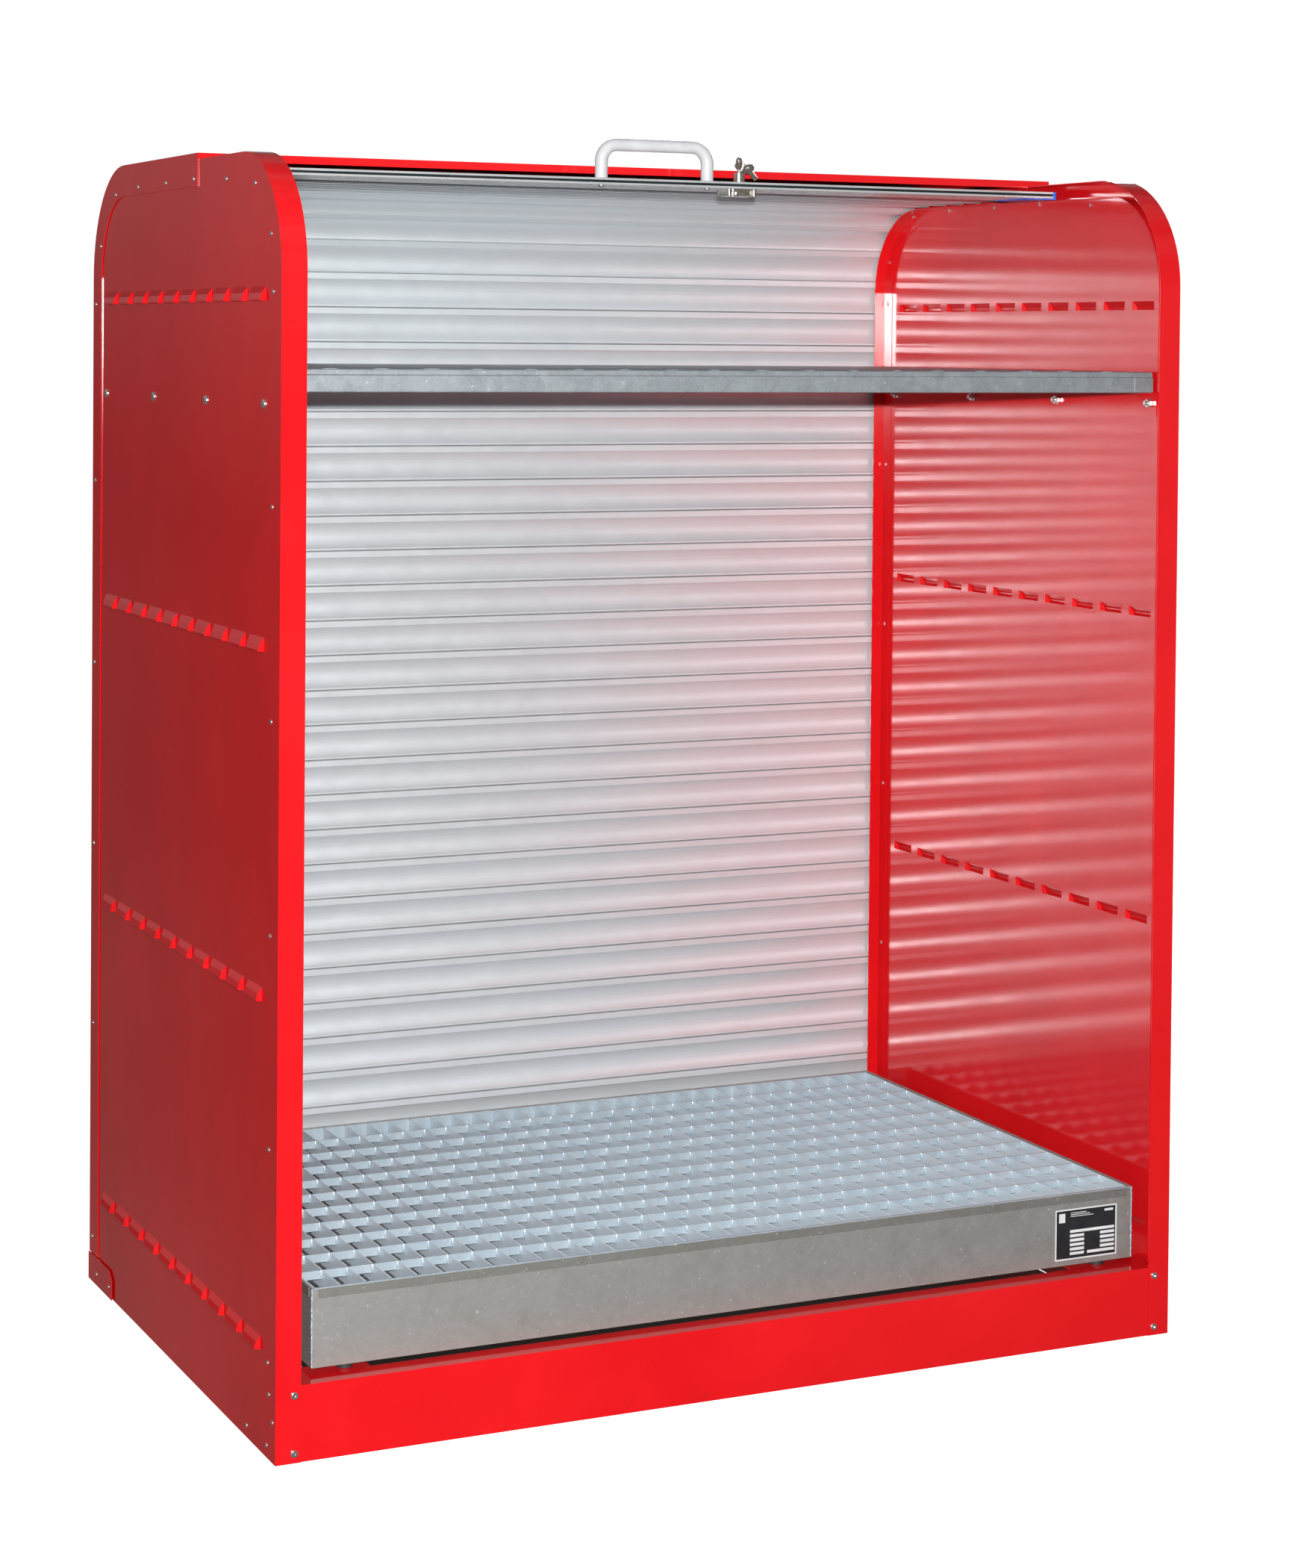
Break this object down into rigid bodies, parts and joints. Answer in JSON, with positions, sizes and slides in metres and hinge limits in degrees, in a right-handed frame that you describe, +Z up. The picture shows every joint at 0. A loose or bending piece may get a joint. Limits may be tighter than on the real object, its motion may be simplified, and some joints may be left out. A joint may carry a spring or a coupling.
{
  "type": "flammable storage cabinet",
  "caption": "Red sheet-steel roll-top safety cabinet with an open aluminium slatted shutter, a spill tray with a mesh grating and a shelf.",
  "frame": {"origin": "centre of the cabinet base on the floor (bounding box bottom centre)", "axes": "+X to the right seen from the open front, +Y to the back, +Z up"},
  "size_m": [1.636, 1.0658, 2.057],
  "materials": {
    "red_coat": "glossy powder coat on sheet steel",
    "galvanised": "hot-dip galvanised, dull spangle",
    "zinc": "bright zinc plating",
    "aluminium": "anodised extrusion",
    "nickel": "nickel-plated",
    "brass": "dull brass",
    "blue_plastic": "moulded plastic",
    "handle_plastic": "satin light grey",
    "plate_black": null,
    "black_rubber": "matt"
  },
  "bodies": {
    "carcass": {"side_panel_left": "red_coat", "side_panel_right": "red_coat", "guide_rail_left": "red_coat", "guide_rail_right": "red_coat", "rear_cover": "red_coat", "front_plinth": "red_coat", "plinth_brackets": "red_coat", "rear_base": "red_coat", "corner_ears": "red_coat", "rail_rivets": "zinc", "cover_rivets": "zinc", "base_rivets": "zinc", "plinth_screws": "zinc", "shelf": "galvanised", "shelf_bracket_left": "red_coat", "shelf_bracket_right": "red_coat", "bracket_bolts": "zinc", "bracket_nuts": "zinc"},
    "tray": {"spill_tray": "galvanised", "grating_rests": "galvanised", "tray_feet": "black_rubber", "type_plate": "plate_black", "earth_lug": "brass"},
    "grating": {"grating": "galvanised"},
    "curtain_back": {"back_slats": "aluminium"},
    "curtain_entry_low": {"entry_slat_low": "aluminium"},
    "curtain_entry_high": {"entry_slat_high": "aluminium"},
    "curtain_bend": {"bend_slats": "aluminium"},
    "curtain_exit_low": {"exit_slat_low": "aluminium"},
    "curtain_exit_high": {"exit_slat_high": "aluminium"},
    "curtain_front": {"top_slats": "aluminium", "end_bar": "aluminium", "end_caps": "blue_plastic", "handle": "handle_plastic", "handle_screws": "zinc", "lock_case": "nickel", "lock_barrel": "nickel"},
    "bolt": {"lock_bolt": "nickel"},
    "rotor": {"lock_rotor": "nickel", "key": "nickel"},
    "ring_keys": {"key_ring": "nickel", "spare_key": "nickel"}
  },
  "joints": [
    {"name": "curtain_lift", "type": "slide", "parent": "carcass", "child": "curtain_back", "axis": [0, 0, 1], "range_m": [0, 0.065]},
    {"name": "entry_low_turn", "type": "hinge", "parent": "carcass", "child": "curtain_entry_low", "pos_m": [0, -2.01331, 1.73851], "axis": [1, 0, 0], "range_deg": [0, 1.48]},
    {"name": "entry_high_turn", "type": "hinge", "parent": "carcass", "child": "curtain_entry_high", "pos_m": [0, 0.29725, 1.79808], "axis": [1, 0, 0], "range_deg": [0, 17.35]},
    {"name": "bend_turn", "type": "hinge", "parent": "carcass", "child": "curtain_bend", "pos_m": [0, 0.33835, 1.812], "axis": [1, 0, 0], "range_deg": [0, 21.65]},
    {"name": "exit_low_turn", "type": "hinge", "parent": "carcass", "child": "curtain_exit_low", "pos_m": [0, 0.33646, 1.80838], "axis": [1, 0, 0], "range_deg": [0, 21.17]},
    {"name": "exit_high_turn", "type": "hinge", "parent": "carcass", "child": "curtain_exit_high", "pos_m": [0, 0.2921, 1.43084], "axis": [1, 0, 0], "range_deg": [0, 6.71]},
    {"name": "curtain_travel", "type": "slide", "parent": "carcass", "child": "curtain_front", "axis": [0, -1, 0], "range_m": [0, 0.065]},
    {"name": "key_turn", "type": "hinge", "parent": "curtain_front", "child": "rotor", "pos_m": [0.139, -0.16867, 2.006], "axis": [0, 0, -1], "range_deg": [0, 90]},
    {"name": "bolt_throw", "type": "slide", "parent": "curtain_front", "child": "bolt", "axis": [0, -1, 0], "range_m": [0, 0.012]},
    {"name": "ring_swing", "type": "hinge", "parent": "rotor", "child": "ring_keys", "pos_m": [0.139, -0.16867, 2.0245], "axis": [-1, 0, 0], "range_deg": [0, 55]},
    {"name": "tray_slide", "type": "slide", "parent": "carcass", "child": "tray", "axis": [0, -1, 0], "range_m": [0, 0.9]},
    {"name": "grating_lift", "type": "slide", "parent": "tray", "child": "grating", "axis": [0, 0, 1], "range_m": [0, 0.3]}
  ],
  "couplings": [
    {"joint": "entry_low_turn", "follows": "curtain_lift", "rad_per_m": 0.39605},
    {"joint": "entry_high_turn", "follows": "curtain_lift", "rad_per_m": 4.6576},
    {"joint": "bend_turn", "follows": "curtain_lift", "rad_per_m": 5.814},
    {"joint": "exit_low_turn", "follows": "curtain_lift", "rad_per_m": 5.6831},
    {"joint": "exit_high_turn", "follows": "curtain_lift", "rad_per_m": 1.8014},
    {"joint": "curtain_travel", "follows": "curtain_lift", "ratio": 1},
    {"joint": "bolt_throw", "follows": "key_turn", "m_per_rad": 0.007639}
  ]
}
